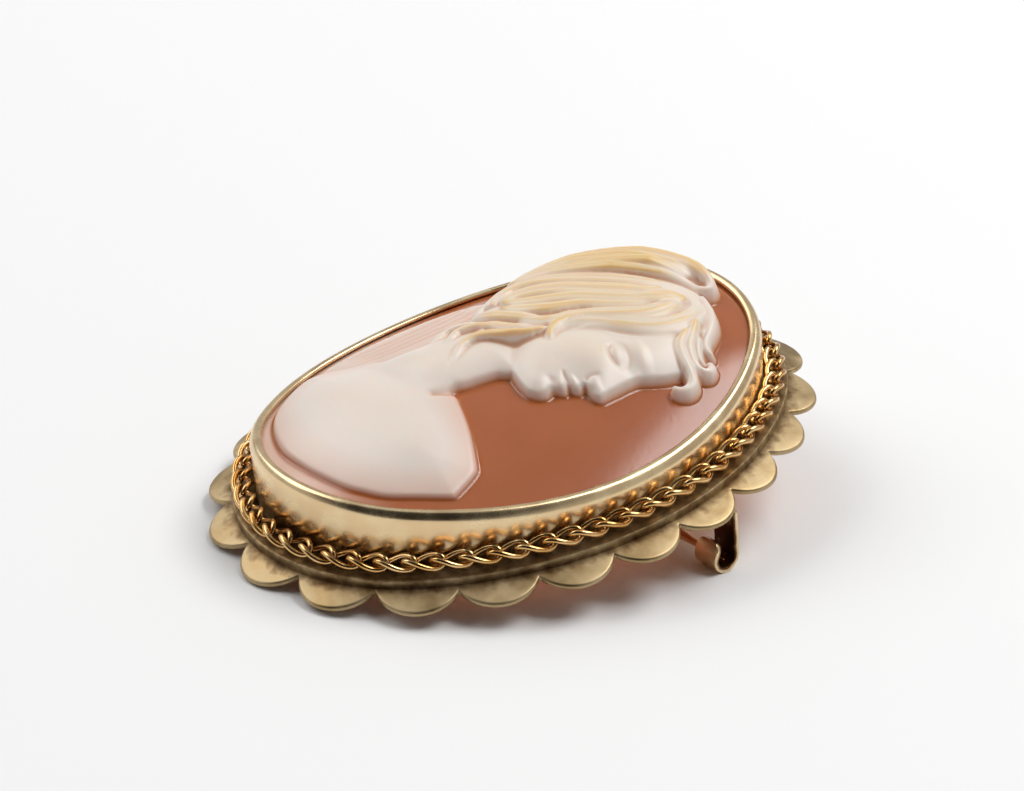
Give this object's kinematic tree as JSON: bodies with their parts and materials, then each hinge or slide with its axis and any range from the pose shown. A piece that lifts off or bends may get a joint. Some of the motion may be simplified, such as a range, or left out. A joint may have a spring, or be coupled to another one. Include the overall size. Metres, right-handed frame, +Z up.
{
  "type": "cameo brooch",
  "caption": "Oval carved shell cameo brooch: relief bust in a smooth collar with a twisted chain edging, a scalloped plate, a hinged pin and a hook catch.",
  "frame": {"origin": "under the middle of the brooch, on the surface it rests on", "axes": "+Z up from the surface; +Y along the length towards the carved head; +X across, to the side the carved face looks to"},
  "size_m": [0.0362, 0.0458, 0.0146],
  "materials": {
    "carved_shell": "polished shell, salmon ground under a white relief",
    "gold": "polished pale gold with fine wear",
    "gold_chain": "bright pale gold wire",
    "gold_pin": "satin pale gold"
  },
  "bodies": {
    "mount": {"setting": "gold", "cameo": "carved_shell", "curb_chain": "gold_chain", "hinge_rivet": "gold"},
    "pin_body": {"pin": "gold_pin"}
  },
  "joints": [
    {"name": "pin_hinge", "type": "hinge", "parent": "mount", "child": "pin_body", "pos_m": [-0.0154, 0.00421, 0.00125], "axis": [0, 0.9888, 0.1495], "range_deg": [0, 110]}
  ]
}
